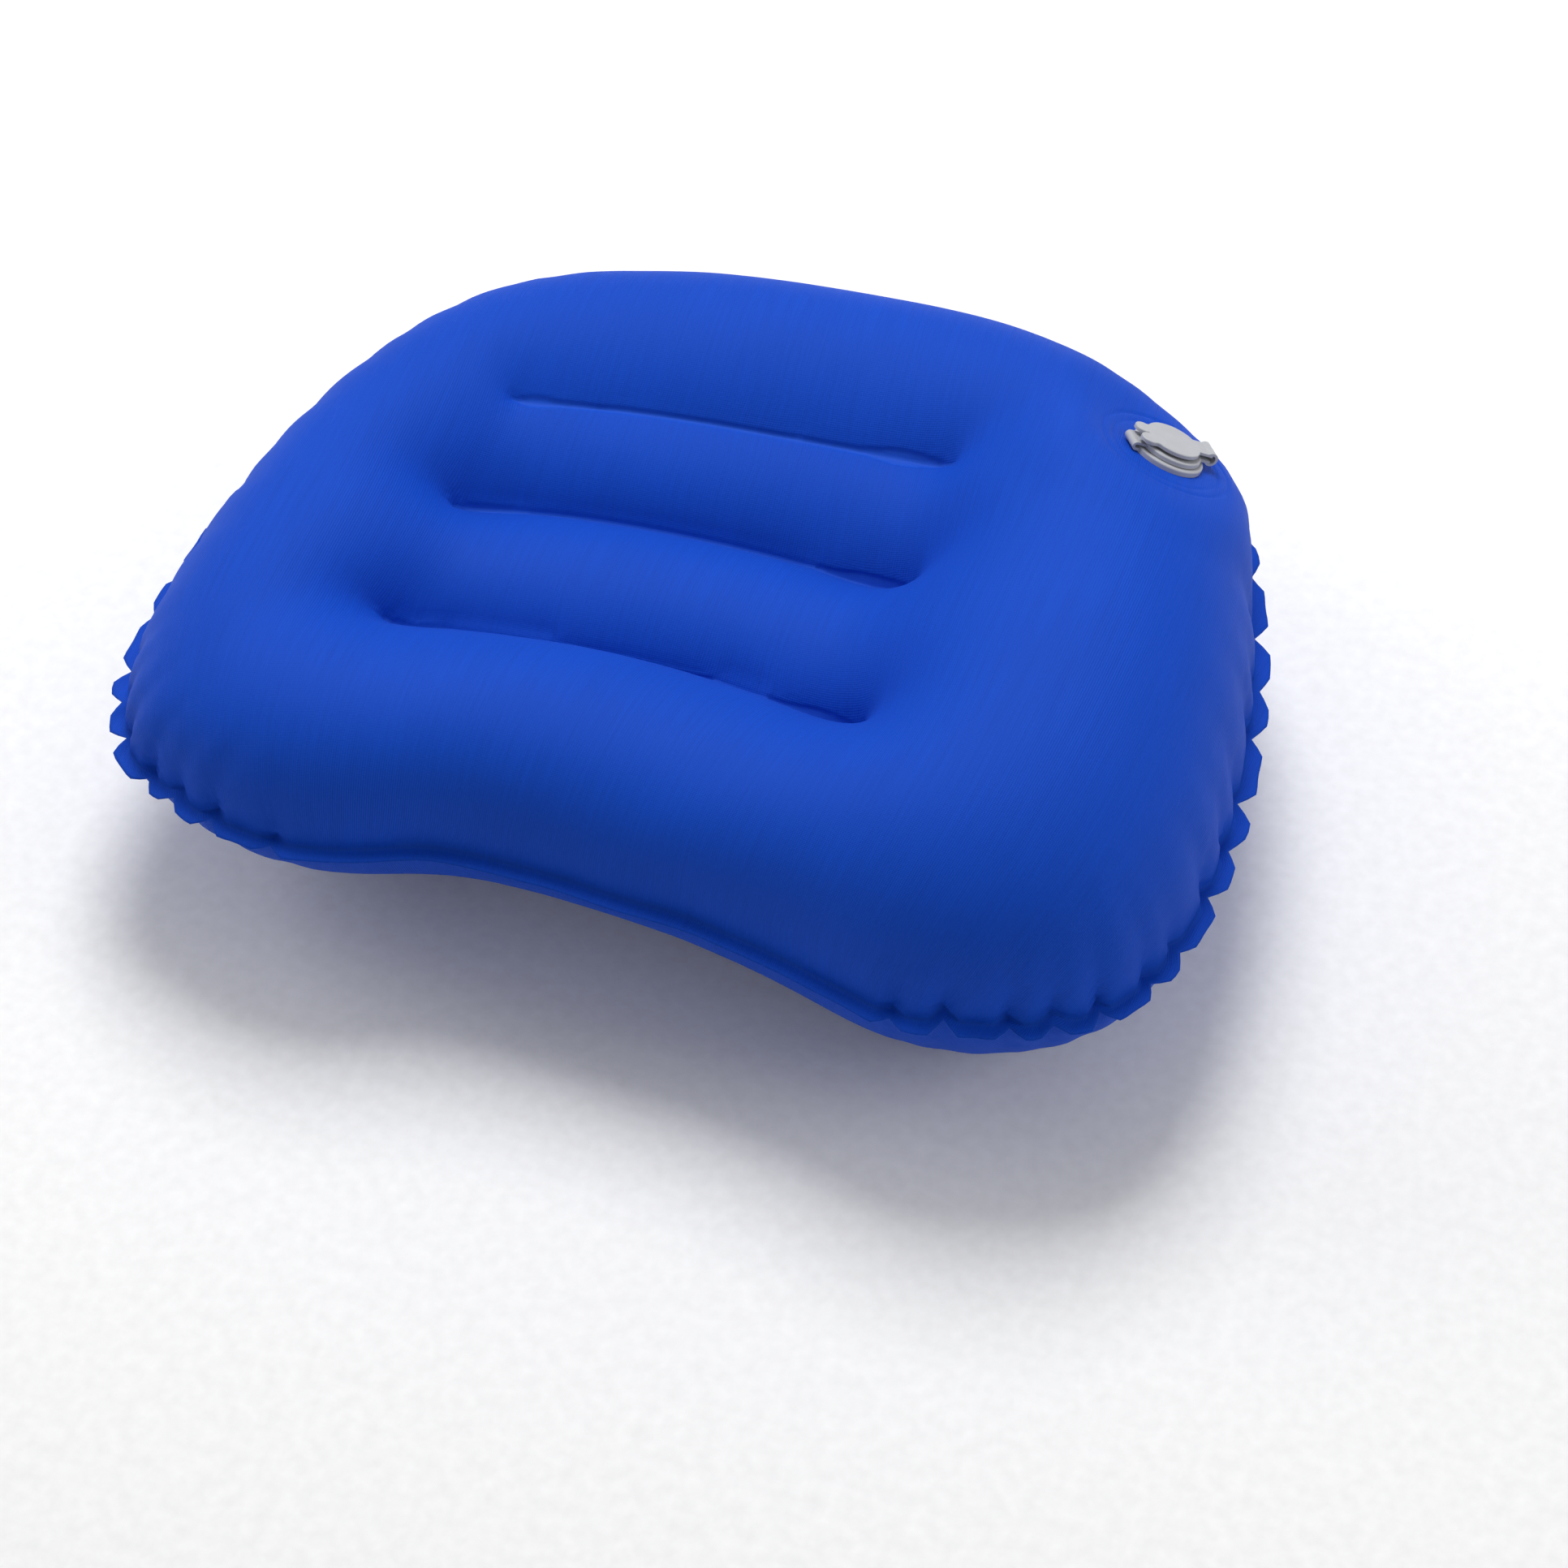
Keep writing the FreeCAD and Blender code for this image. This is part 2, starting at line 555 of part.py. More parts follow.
def make_strap(name, loop, side):
    """A moulded strap bent into a loop: a ring with its mouth cut open and two legs."""
    def primitive(kind, label, sizes, place):
        made = doc.addObject(kind, name + "_" + label)
        for key, (expression, value) in sizes.items():
            made.setExpression(key, expression)
        for axis, (expression, value) in zip("xyz", place):
            made.setExpression("Placement.Base." + axis, expression)
        return made

    def combine(kind, label, first, second):
        made = doc.addObject(kind, label)
        made.Base = first
        made.Tool = second
        return made

    sign = "" if side > 0 else "-"
    middle, height = at(sign + loop + "_loop_place"), at(loop + "_loop_height")
    width, radius = at("strap_width"), at(loop + "_loop_radius")
    hollow_radius = at(loop + "_loop_radius", "-strap_thickness")
    outside = primitive("Part::Cylinder", "outside", {"Radius": radius, "Height": width},
                        (middle, HALF_WIDTH, height))
    hollow = primitive("Part::Cylinder", "hollow", {"Radius": hollow_radius, "Height": width},
                       (middle, HALF_WIDTH, height))
    for cylinder in (outside, hollow):
        cylinder.Placement = Placement(Vector(), Rotation(Vector(1, 0, 0), 90))
    ring = combine("Part::Cut", name + "_ring", outside, hollow)
    mouth_low, mouth_high = leg_height(loop, -1)[1], leg_height(loop, 1)[0]
    leg_length = at(loop + "_loop_place", "-" + loop + "_root_reach")
    near_end = at(loop + "_root_reach") if side > 0 else middle
    mouth = primitive("Part::Box", "mouth", {
        "Length": leg_length, "Width": width,
        "Height": ("(%s) - (%s)" % (mouth_high[0], mouth_low[0]), 0)}, (near_end, OTHER_HALF, mouth_low))
    legs = []
    for label, leg in (("upper_leg", 1), ("lower_leg", -1)):
        low, high = leg_height(loop, leg)
        legs.append(primitive("Part::Box", label, {
            "Length": leg_length, "Width": width, "Height": at("strap_thickness")},
            (near_end, OTHER_HALF, low)))
    trim_start = at(loop + "_root_reach", "-" + loop + "_loop_radius") if side > 0 else at(
        "-" + loop + "_root_reach")
    trim = primitive("Part::Box", "trim", {
        "Length": radius, "Width": width, "Height": ("2 * (%s)" % radius[0], 0)},
        (trim_start, OTHER_HALF, at(loop + "_loop_height", "-" + loop + "_loop_radius")))
    open_ring = combine("Part::Cut", name + "_open_ring", ring, mouth)
    trimmed = combine("Part::Cut", name + "_trimmed", open_ring, trim)
    with_leg = combine("Part::Fuse", name + "_with_leg", trimmed, legs[0])
    strap = combine("Part::Fuse", name, with_leg, legs[1])
    strap.Label = name
    strap.Placement = VALVE
    return strap


# ---------------------------------------------------------------------------
# Build, check and write
# ---------------------------------------------------------------------------
make_skins()
for baffle, place_name in WELD_PLACES.items():
    make_baffle(baffle, size(place_name))
make_weld_skirt()
make_valve_base()
make_plug()
make_pin()
make_membrane()
make_lid()
make_strap("lid_strap", "lid", 1)
make_strap("plug_strap", "plug", -1)
doc.recompute()

NODES = ["top_panel", "bottom_panel", "front_baffle", "middle_baffle", "back_baffle", "valve_skirt",
         "valve_base", "deflation_plug", "membrane_pin", "check_membrane", "lid", "lid_strap", "plug_strap"]

for thing in doc.Objects:
    if "Invalid" in thing.State or "Error" in thing.State:
        raise RuntimeError("%s failed: %s" % (thing.Label, thing.State))

os.makedirs("parts", exist_ok=True)
for node in NODES:
    thing = doc.getObjectsByLabel(node)[0]
    if thing.Shape.isNull() or not thing.Shape.isValid():
        raise RuntimeError("%s has no valid shape" % node)
    box = thing.Shape.optimalBoundingBox()
    print("%-15s %d solid %10.1f mm3  x %.1f %.1f  y %.1f %.1f  z %.1f %.1f" % (
        node, len(thing.Shape.Solids), thing.Shape.Volume,
        box.XMin, box.XMax, box.YMin, box.YMax, box.ZMin, box.ZMax))
    thing.Shape.exportStep("parts/%s.step" % node)

print("valve frame", VALVE.Base, "axis", VALVE.Rotation.multVec(Vector(0, 0, 1)),
      "along the straps", VALVE.Rotation.multVec(Vector(1, 0, 0)))
for name, loop, side in (("lid", "lid", 1), ("plug", "plug", -1)):
    apex = side * (size(loop + "_loop_place") + size(loop + "_loop_radius") - size("strap_thickness") / 2.0)
    hinge = VALVE.multVec(Vector(apex, 0, size(loop + "_loop_height")))
    print(name, "hinge at", hinge, "axis", VALVE.Rotation.multVec(Vector(0, side, 0)))
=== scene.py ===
import math
import bmesh
import bpy
import numpy as np
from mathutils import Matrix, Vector, geometry
from mathutils.bvhtree import BVHTree
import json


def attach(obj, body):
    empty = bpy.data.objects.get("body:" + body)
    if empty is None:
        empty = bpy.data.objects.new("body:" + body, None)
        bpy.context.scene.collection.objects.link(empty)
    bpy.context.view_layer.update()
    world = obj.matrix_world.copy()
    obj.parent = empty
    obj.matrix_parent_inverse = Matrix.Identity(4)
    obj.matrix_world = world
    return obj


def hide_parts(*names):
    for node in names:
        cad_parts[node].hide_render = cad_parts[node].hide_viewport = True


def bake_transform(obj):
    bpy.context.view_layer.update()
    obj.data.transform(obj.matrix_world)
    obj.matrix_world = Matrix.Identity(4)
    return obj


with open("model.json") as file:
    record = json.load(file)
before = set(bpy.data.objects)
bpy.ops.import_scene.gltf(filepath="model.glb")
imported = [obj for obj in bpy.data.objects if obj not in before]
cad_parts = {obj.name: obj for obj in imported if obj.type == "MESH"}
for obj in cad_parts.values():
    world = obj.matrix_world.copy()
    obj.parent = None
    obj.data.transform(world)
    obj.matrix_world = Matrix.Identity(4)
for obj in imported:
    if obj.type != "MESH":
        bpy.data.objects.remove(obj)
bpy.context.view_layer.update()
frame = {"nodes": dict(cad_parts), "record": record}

# ---------------------------------------------------------------------------
# Sizes, in metres. The flat pattern, the weld lines, the bend of the form and the camera
# were found by least-squares fits of the inflated form to the reference picture, made by
# scratch programs, and then rounded. The weld lines were shifted after that.
# ---------------------------------------------------------------------------
# control points of the welded outline, right half, from the neck edge round to the back
OUTLINE = [(0.000, -0.186), (0.072, -0.180), (0.119, -0.200), (0.181, -0.176), (0.229, -0.124),
           (0.236, -0.053), (0.219, 0.034), (0.190, 0.104), (0.129, 0.155), (0.000, 0.159)]
# weld lines of the baffles: left end, middle, right end, slack length of the baffle
WELDS = [((-0.107, 0.045), (-0.045, 0.050), (0.050, 0.048), 0.060),
         ((-0.112, 0.005), (-0.045, 0.009), (0.046, 0.005), 0.014),
         ((-0.115, -0.056), (-0.050, -0.055), (0.052, -0.059), 0.018)]
FLANGE = 0.0065                    # welded margin outside the seam
INFLATED = (0.450, 0.346, 0.1532)  # width, depth and height of the blown-up form
MIDDLE = INFLATED[2] / 2           # height of the seam
LAMINATE = 0.0003                  # thickness of a skin
SKIN_GAP = 0.0002                  # each skin's outer face stands this far off the welded plane
WEB_FILM = 0.0003
SKIRT_FILM = 0.0006
WEB_TAB = 0.0035                   # half width of the tab along a web
UNDER_TAB = 0.0014                 # a web's tab lies this far under the outer face of the skin

SPACING = 0.014                    # first mesh; each split halves it
STEPS = (2500, 200, 120)           # steps of the pressure model at each fineness
PRESSURE = 4.85                    # against a stretch stiffness of 1
BAFFLE_STIFFNESS = 3.0
COMPRESSION = 0.15                 # how much cloth resists being pushed together
FLANGE_BENDING = 0.225
TIME_STEP = np.float32(0.11)
DAMPING = np.float32(0.975)
START_SHRINK = 0.92                # the skins start a little drawn in
START_HEIGHT = 0.06                # and domed to this height
START_ROUND = 0.09                 # over this distance from the seam

PUCKER_SPACING = 0.026             # along the seam, round the two ends
PUCKER_DEPTH = 0.0050
PUCKER_WIDTH = 0.0042
PUCKER_SPREAD = 0.13               # how fast a crease widens up the skin
PUCKER_REACH = 0.020               # how far up the skin it fades
PUCKER_FROM, PUCKER_TO = 0.09, 0.13  # puckers begin between these distances from the centre line
SEAM_EVENING = 12                  # passes that smooth the seam
MARK_HALF_WIDTH = 0.0008           # pressed line of a weld
MARK_EDGE = 0.0006
WELD_PRESS = 0.0006                # depth of a weld mark and of a ring round the valve

COLLAR = 0.0158                    # radius of the valve's collar
HOLE = 0.0144                      # radius of the hole under it
PORT_HEIGHT = 0.0056               # inflation port above the valve's seat
SEAT_FLAT, SEAT_END = 0.021, 0.062  # the skin lies flat to the first radius and is free from the second
WELD_RINGS = ((0.0285, 1.0), (0.0235, 0.8))  # radius and strength
RING_WIDTH = 0.0008
SKIRT_RADII = (0.0138, 0.0285)

WALE_PITCH = 0.00085
COURSE_PITCH = 0.00065


def smooth_outline(count):
    """The outline as count points at equal spacing, on a closed cubic B-spline."""
    right = np.array(OUTLINE)
    left = right[-2:0:-1] * [-1, 1]
    control = np.vstack([right, left])
    t = np.linspace(0, len(control), count * 16, endpoint=False)
    i = np.floor(t).astype(int)
    u = (t - i)[:, None]
    basis = [(1 - u) ** 3 / 6, (3 * u ** 3 - 6 * u ** 2 + 4) / 6,
             (-3 * u ** 3 + 3 * u ** 2 + 3 * u + 1) / 6, u ** 3 / 6]
    curve = sum(b * control[(i + k - 1) % len(control)] for k, b in enumerate(basis))
    closed = np.vstack([curve, curve[:1]])
    length = np.concatenate([[0], np.cumsum(np.linalg.norm(np.diff(closed, axis=0), axis=1))])
    places = np.linspace(0, length[-1], count, endpoint=False)
    points = np.stack([np.interp(places, length, closed[:, k]) for k in range(2)], 1)
    along = np.roll(points, -1, 0) - np.roll(points, 1, 0)
    along /= np.linalg.norm(along, axis=1)[:, None]
    return points, np.stack([along[:, 1], -along[:, 0]], 1), length[-1]


def inside(outline, points):
    """Which points lie inside a closed outline."""
    within = np.zeros(len(points), bool)
    for start, end in zip(outline, np.roll(outline, -1, 0)):
        crosses = (start[1] > points[:, 1]) != (end[1] > points[:, 1])
        reach = start[0] + (end[0] - start[0]) * (points[:, 1] - start[1]) / (end[1] - start[1] + 1e-12)
        within ^= crosses & (points[:, 0] < reach)
    return within


def cut_pattern():
    """Triangles of the top skin and of the flange over the flat pattern."""
    count = int(round(smooth_outline(200)[2] / SPACING / 2)) * 2
    ring, outward, _ = smooth_outline(count)
    lines = [weld_curve(weld, int(round(math.dist(weld[0], weld[2]) / SPACING)) + 1) for weld in WELDS]
    fixed = np.vstack([ring] + lines)
    grid = []
    for row in range(-20, 21):
        columns = np.arange(-20, 21) * SPACING + (SPACING / 2 if row % 2 else 0)
        grid.append(np.stack([columns, np.full(len(columns), row * SPACING * math.sqrt(3) / 2)], 1))
    grid = np.vstack(grid)
    clear = np.min(np.linalg.norm(grid[:, None] - fixed[None], axis=2), axis=1) > 0.62 * SPACING
    flat = np.vstack([fixed, grid[clear & inside(ring, grid)]])
    links = [(k, (k + 1) % count) for k in range(count)]
    first = count
    weld_rows = []
    for line in lines:
        weld_rows.append(np.arange(first, first + len(line)))
        links += [(first + k, first + k + 1) for k in range(len(line) - 1)]
        first += len(line)
    cut = geometry.delaunay_2d_cdt([Vector(p) for p in flat], links, [list(range(count))], 1, 1e-7, True)
    origin = np.array([ids[0] for ids in cut[3]])
    faces = origin[np.array(cut[2])]
    faces = faces[inside(ring, flat[faces].mean(1))]
    a, b, c = (flat[faces[:, k]] for k in range(3))
    turn = (b[:, 0] - a[:, 0]) * (c[:, 1] - a[:, 1]) - (b[:, 1] - a[:, 1]) * (c[:, 0] - a[:, 0])
    faces[turn < 0] = faces[turn < 0][:, ::-1]
    rows = [np.arange(count), len(flat) + np.arange(count)]
    flat = np.vstack([flat, ring + outward * FLANGE])
    near, far = rows
    flange = np.vstack([np.stack([near, far, np.roll(far, -1)], 1),
                        np.stack([near, np.roll(far, -1), np.roll(near, -1)], 1)])
    return {"flat": flat, "top": faces, "flange": flange, "rows": rows, "welds": weld_rows}


def sides_of(triangles):
    """The three sides of every triangle, lower point first."""
    sides = np.vstack([triangles[:, [0, 1]], triangles[:, [1, 2]], triangles[:, [2, 0]]])
    return np.sort(sides, axis=1)


def split(mesh, place):
    """Every triangle in four; the outline's new points go onto the smooth outline."""
    parts = ("top", "flange")
    triangles = np.vstack([mesh[p] for p in parts])
    total = len(mesh["flat"])
    sides = sides_of(triangles)
    keys, middle = np.unique(sides[:, 0] * total + sides[:, 1], return_inverse=True)
    ends = np.stack([keys // total, keys % total], 1)
    middle = total + middle.reshape(3, -1)

    def between(p, q):
        low, high = np.minimum(p, q), np.maximum(p, q)
        return total + np.searchsorted(keys, low * total + high)

    ab, bc, ca = middle
    a, b, c = triangles.T
    quarters = np.stack([np.stack([a, ab, ca], 1), np.stack([ab, b, bc], 1),
                         np.stack([ca, bc, c], 1), np.stack([ab, bc, ca], 1)], 1)
    made, first = {}, 0
    for part in parts:
        made[part] = quarters[first:first + len(mesh[part])].reshape(-1, 3)
        first += len(mesh[part])
    flat = np.vstack([mesh["flat"], mesh["flat"][ends].mean(1)])
    place = np.vstack([place, place[ends].mean(1)])

    def interleave(row, following):
        return np.stack([row, following], 1).ravel()

    rows = []
    for k, row in enumerate(mesh["rows"]):
        if k:
            before = mesh["rows"][k - 1]
            rows.append(interleave(between(before, row), between(before, np.roll(row, -1))))
        rows.append(interleave(row, between(row, np.roll(row, -1))))
    ring, outward, _ = smooth_outline(len(rows[0]))
    for k, row in enumerate(rows):
        flat[row] = ring + outward * FLANGE * k / (len(rows) - 1)
    made["welds"] = []
    for line in mesh["welds"]:
        points = np.empty(2 * len(line) - 1, int)
        points[0::2] = line
        points[1::2] = between(line[:-1], line[1:])
        made["welds"].append(points)
    made["flat"], made["rows"] = flat, rows
    return made, place


def across_edges(triangles):
    """Pairs of corners that face each other across a shared edge."""
    facing = np.concatenate([triangles[:, 2], triangles[:, 0], triangles[:, 1]])
    sides = sides_of(triangles)
    key = sides[:, 0] * (triangles.max() + 1) + sides[:, 1]
    order = np.argsort(key, kind="stable")
    key, facing = key[order], facing[order]
    twin = np.nonzero(key[1:] == key[:-1])[0]
    return np.stack([facing[twin], facing[twin + 1]], 1)


class Sum:
    """Adds values that belong to the same point."""
    def __init__(self, index):
        self.order = np.argsort(index, kind="stable")
        self.points, self.start = np.unique(index[self.order], return_index=True)

    def into(self, force, values):
        force[self.points] += np.add.reduceat(values[self.order], self.start, axis=0)


def inflate(mesh, place, steps, spacing):
    """Blow the top skin up with air for that many steps, held by the cloth, seam and baffles.
    The seam stays in its plane, as the bottom skin pulls on it equally."""
    flat = mesh["flat"].astype(np.float32)
    triangles = np.vstack([mesh["top"], mesh["flange"]])
    sides = sides_of(triangles)
    edges = np.unique(sides, axis=0)
    seam = np.zeros(len(flat), bool)
    for row in mesh["rows"]:
        seam[row] = True
    margin = seam.copy()
    margin[mesh["rows"][0]] = False
    bends = np.vstack([across_edges(mesh[p]) for p in ("top", "flange")])
    springs = np.vstack([edges, bends])
    rest = np.linalg.norm(flat[springs[:, 0]] - flat[springs[:, 1]], axis=1).astype(np.float32)
    pull = np.ones(len(springs), np.float32)
    push = np.full(len(springs), COMPRESSION, np.float32)
    push[len(edges):] = np.where(margin[bends].any(1), FLANGE_BENDING, COMPRESSION)
    pull[len(edges):] = 0.1 * push[len(edges):]
    web_stiffness = BAFFLE_STIFFNESS * spacing / SPACING
    ends = Sum(np.concatenate([springs[:, 0], springs[:, 1]]))
    skin = mesh["top"]
    corners = Sum(skin.T.ravel())
    place = place.astype(np.float32)
    speed = np.zeros_like(place)
    for _ in range(steps):
        line = place[springs[:, 1]] - place[springs[:, 0]]
        length = np.sqrt(np.einsum("ij,ij->i", line, line)) + 1e-9
        change = length - rest
        force = np.zeros_like(place)
        tension = line * (np.where(change > 0, pull, push) * change / length)[:, None]
        ends.into(force, np.concatenate([tension, -tension]))
        a, b, c = (place[skin[:, k]] for k in range(3))
        air = np.cross(b - a, c - a) * np.float32(PRESSURE / 6)
        corners.into(force, np.concatenate([air, air, air]))
        for points, weld in zip(mesh["welds"], WELDS):
            force[points, 2] -= web_stiffness * np.maximum(2 * place[points, 2] - weld[3], 0)
        force[seam, 2] = 0
        speed = (speed + TIME_STEP * force) * DAMPING
        place = place + speed
        place[:, 2] = np.maximum(place[:, 2], 0)
    return place


def mirror_below(mesh, place):
    """Add the bottom skin, the top skin's mirror image."""
    total = len(place)
    own = np.ones(total, bool)
    for row in mesh["rows"]:
        own[row] = False
    below = np.arange(total)
    below[own] = total + np.arange(own.sum())
    mesh["bottom"] = below[mesh["top"]][:, ::-1]
    mesh["flat"] = np.vstack([mesh["flat"], mesh["flat"][own]])
    return np.vstack([place, place[own] * [1, 1, -1]])


def bend_form(place):
    """Bend the form: the ends lean forward, and the back is fuller than the neck edge."""
    place = place.copy()
    x, y = place[:, 0] / 0.225, place[:, 1] / 0.17
    skew = 0.006 * x * y - 0.007 * (x ** 2 + y ** 2)
    place[:, 0] += skew - 0.022 * x ** 3 - 0.010 * x * y ** 2 + 0.004 * y
    place[:, 1] += 0.003 * x - 0.032 * x ** 2 - 0.023 * x ** 2 * y - 0.025 * y ** 3
    place[:, 2] *= 1 + 0.10 * y
    return place


def blown_up():
    """The inflated skins: mesh parts and points centred on the seam plane."""
    mesh = cut_pattern()
    flat = mesh["flat"]
    ring = flat[mesh["rows"][0]]
    reach = np.array([np.min(np.linalg.norm(ring - p, axis=1)) for p in flat])
    rounding = 1 - (1 - np.clip(reach / START_ROUND, 0, 1)) ** 2
    lift = START_HEIGHT * np.sqrt(np.clip(rounding, 0, 1))
    for row in mesh["rows"]:
        lift[row] = 0.0
    place = np.column_stack([flat * START_SHRINK, lift])
    spacing = SPACING
    for level, steps in enumerate(STEPS):
        if level:
            mesh, place = split(mesh, place)
            spacing /= 2
        place = inflate(mesh, place, steps, spacing)
    place = mirror_below(mesh, place)
    place = bend_form(place)
    low, high = place.min(0), place.max(0)
    place = (place - (low + high) / 2) * (np.array(INFLATED) / (high - low))
    return mesh, place


# ---------------------------------------------------------------------------
# Puckers of the seam, and the marks of the welds
# ---------------------------------------------------------------------------
def chance(k):
    """A fixed number from 0 to 1 for each whole number."""
    return (k + 1) * 0.6180339887 % 1.0


def gather_seam(mesh, place):
    """Even out the seam and its flange, then draw them in at puckers round the two ends."""
    flat, ring = mesh["flat"], mesh["rows"][0]
    outline = flat[ring]
    cut = np.linalg.norm(np.roll(outline, -1, 0) - outline, axis=1)
    along = np.concatenate([[0], np.cumsum(cut)[:-1]])
    total = cut.sum()
    rim = place[ring]
    even = rim.copy()
    for _ in range(SEAM_EVENING):
        even = (np.roll(even, 1, 0) + 2 * even + np.roll(even, -1, 0)) / 4
    tangent = np.roll(even, -1, 0) - np.roll(even, 1, 0)
    outward = np.stack([tangent[:, 1], -tangent[:, 0], np.zeros(len(ring))], 1)
    outward /= np.linalg.norm(outward, axis=1)[:, None]
    nearest = np.concatenate([
        np.argmin(np.linalg.norm(part[:, None] - outline[None], axis=2), axis=1)
        for part in np.array_split(flat, 40)])
    depth = np.linalg.norm(flat - outline[nearest], axis=1)
    moved = place + (even - rim)[nearest] * np.exp(-depth / 0.010)[:, None]
    for k, row in enumerate(mesh["rows"]):
        nearest[row] = np.arange(len(row))
        depth[row] = -FLANGE * k / (len(mesh["rows"]) - 1)
        moved[row] = even - outward * depth[row][:, None]
    taken = np.cumsum(cut * smooth_step(np.abs(even[:, 0]), PUCKER_FROM, PUCKER_TO)) / PUCKER_SPACING
    for k in range(int(taken[-1])):
        index = int(np.searchsorted(taken, k + 0.5 + 0.35 * (chance(k) - 0.5))) % len(along)
        strength, lift = 0.6 + 0.6 * chance(k + 40), chance(k + 80) - 0.3
        apart = (along[nearest] - along[index] + total / 2) % total - total / 2
        width = np.where(depth > 0, PUCKER_WIDTH + PUCKER_SPREAD * depth, PUCKER_WIDTH)
        fall = np.where(depth > 0, np.exp(-depth / PUCKER_REACH), 1.0 - 0.35 * depth / FLANGE)
        notch = np.exp(-(apart / width) ** 2) - 0.34 * np.exp(-(apart / (3.0 * width)) ** 2)
        moved -= outward[nearest] * (strength * PUCKER_DEPTH * fall * notch)[:, None]
        rise = strength * lift * 0.006
        moved[:, 2] += rise * np.exp(-(apart / 0.005) ** 2) * np.exp(-np.abs(depth) / 0.012)
    low, high = moved[:, :2].min(0), moved[:, :2].max(0)
    moved[:, :2] = (moved[:, :2] - (low + high) / 2) * (np.array(INFLATED[:2]) / (high - low))
    return moved


def weld_curve(weld, count=400):
    """A weld line on the flat pattern, as count points."""
    start, middle, end = (np.array(p) for p in weld[:3])
    t = np.linspace(0, 1, count)[:, None]
    return (1 - t) * (1 - 2 * t) * start + 4 * t * (1 - t) * middle + t * (2 * t - 1) * end


def distance_to(curve, pattern):
    """Rough distance of points of the flat pattern from a weld line, at most 5 mm too large."""
    return np.min(np.linalg.norm(pattern[:, None] - curve[None, ::8], axis=2), axis=1)


def weld_mark(pattern):
    """How strongly each point of the flat pattern is pressed by a weld line, 0 to 1."""
    pressed = np.zeros(len(pattern))
    for weld in WELDS:
        curve = weld_curve(weld)
        near = distance_to(curve, pattern) < 0.02
        gap = np.linalg.norm(pattern[near][:, None] - curve[None], axis=2)
        place = gap.argmin(1) / (len(curve) - 1)
        length = math.dist(weld[0], weld[2])
        from_right, from_left = (1 - place) * length, place * length
        half = MARK_HALF_WIDTH + 0.0019 * np.exp(-((from_right - 0.013) / 0.009) ** 2)
        half += 0.0010 * np.exp(-((from_left - 0.012) / 0.010) ** 2)
        half *= np.clip(np.minimum(from_right, from_left) / 0.005, 0, 1)
        mark = np.clip((half + 0.0004 - gap.min(1)) / MARK_EDGE, 0, 1)
        pressed[near] = np.maximum(pressed[near], mark)
    return pressed


# ---------------------------------------------------------------------------
# Meshes
# ---------------------------------------------------------------------------
joints = {joint["name"]: joint for joint in frame["record"]["behaviour"]["joints"]}
VALVE_OUT = -Vector(joints["membrane_lift"]["axis"]).normalized()
VALVE_SIDE = -Vector(joints["plug_hinge"]["axis"]).normalized()
VALVE_ALONG = VALVE_SIDE.cross(VALVE_OUT)
port = [m for m in frame["record"]["mounts"] if m["name"] == "inflation_port"][0]
VALVE = Vector(port["pos_m"]) - VALVE_OUT * PORT_HEIGHT


def valve_reach(points):
    """Distance of points from the valve's axis, and their height over its seat."""
    away = points - np.array(VALVE)
    height = away @ np.array(VALVE_OUT)
    return np.linalg.norm(away - height[:, None] * np.array(VALVE_OUT), axis=1), height


def smooth_step(value, start, end):
    """0 before start, 1 after end, smooth between."""
    t = np.clip((value - start) / (end - start), 0, 1)
    return t * t * (3 - 2 * t)


def seat_valve(points):
    """Draw the skin onto the flat seat under the valve's collar."""
    reach, height = valve_reach(points)
    held = (1 - smooth_step(reach, SEAT_FLAT, SEAT_END)) * (height > -0.05)
    return points - (held * height)[:, None] * np.array(VALVE_OUT)


def add_mesh(name, points, faces):
    """A mesh object in the row frame."""
    data = bpy.data.meshes.new(name)
    data.from_pydata([tuple(p) for p in points], [], [tuple(f) for f in faces])
    data.polygons.foreach_set("use_smooth", [True] * len(data.polygons))
    made = bpy.data.objects.new(name, data)
    bpy.context.scene.collection.objects.link(made)
    return made


def finer(work, wanted):
    """Split the edges whose two ends are both wanted."""
    edges = [e for e in work.edges if all(wanted[v.index] for v in e.verts)]
    bmesh.ops.subdivide_edges(work, edges=edges, cuts=1, use_grid_fill=True)
    bmesh.ops.triangulate(work, faces=[f for f in work.faces if len(f.verts) > 3])
    work.verts.index_update()


def arrays(work, layer):
    """Points and pattern places of a bmesh."""
    return (np.array([v.co for v in work.verts], float),
            np.array([v[layer] for v in work.verts], float)[:, :2])


